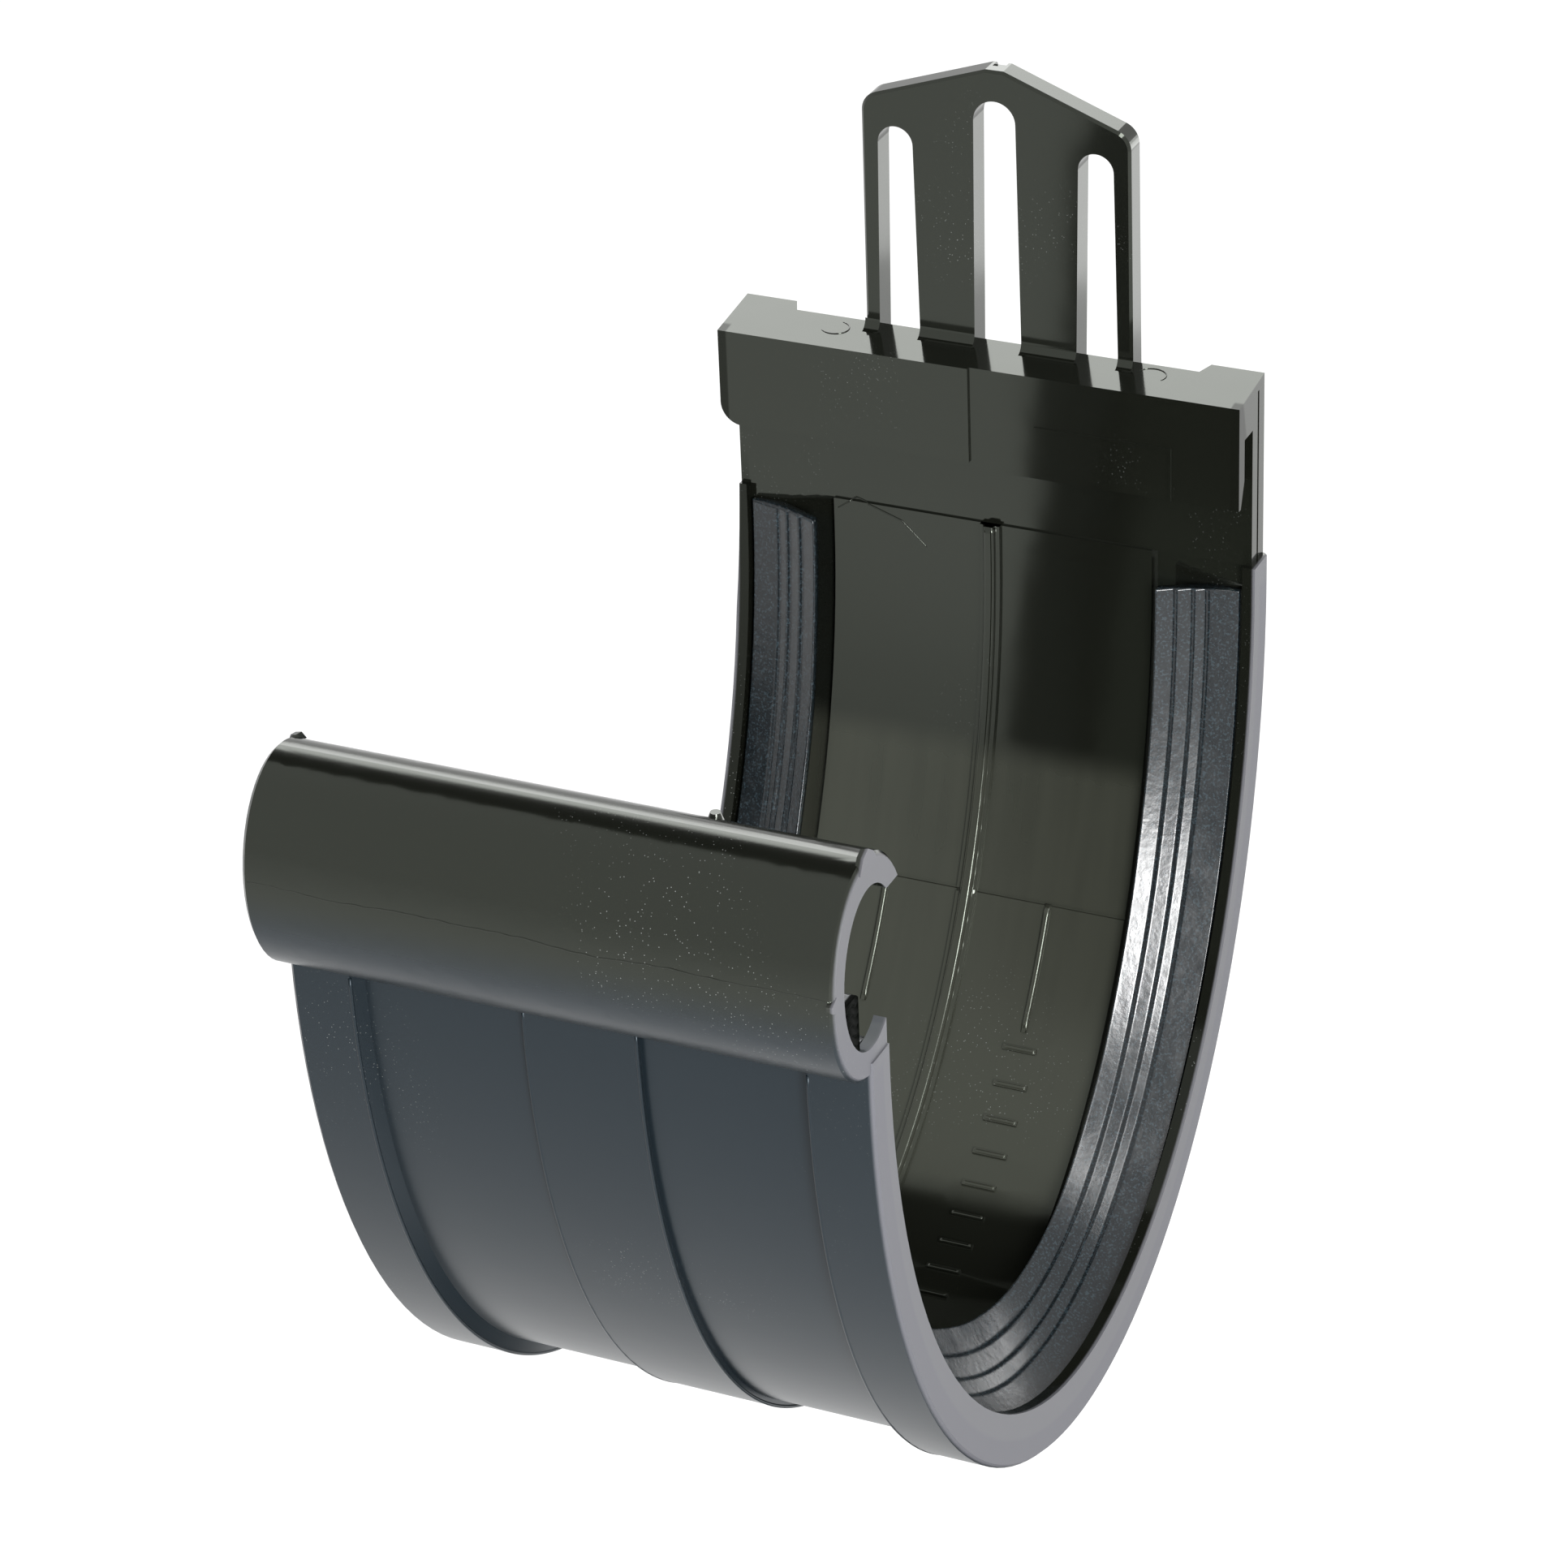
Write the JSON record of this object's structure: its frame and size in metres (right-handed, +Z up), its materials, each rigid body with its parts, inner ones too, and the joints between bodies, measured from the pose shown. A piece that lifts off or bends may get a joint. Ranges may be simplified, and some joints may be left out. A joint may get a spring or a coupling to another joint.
{
  "type": "gutter union",
  "caption": "Black half-oval gutter union with a front snap clip, a back hook with a slotted fixing lug, raised end bands and ribbed rubber seals.",
  "frame": {"origin": "on the channel's middle line, half way along the union, at the level where the oval meets the upright walls", "axes": "+X along the gutter run, +Y towards the fascia board, +Z up"},
  "size_m": [0.072, 0.1348, 0.1506],
  "materials": {
    "pvc": "injection-moulded black PVC, glossy inside, with a fine satin bloom outside",
    "seal_rubber": "satin black EPDM with a light bloom"
  },
  "bodies": {
    "root": {"union_body": "pvc", "seal_left": "seal_rubber", "seal_right": "seal_rubber"}
  },
  "joints": []
}
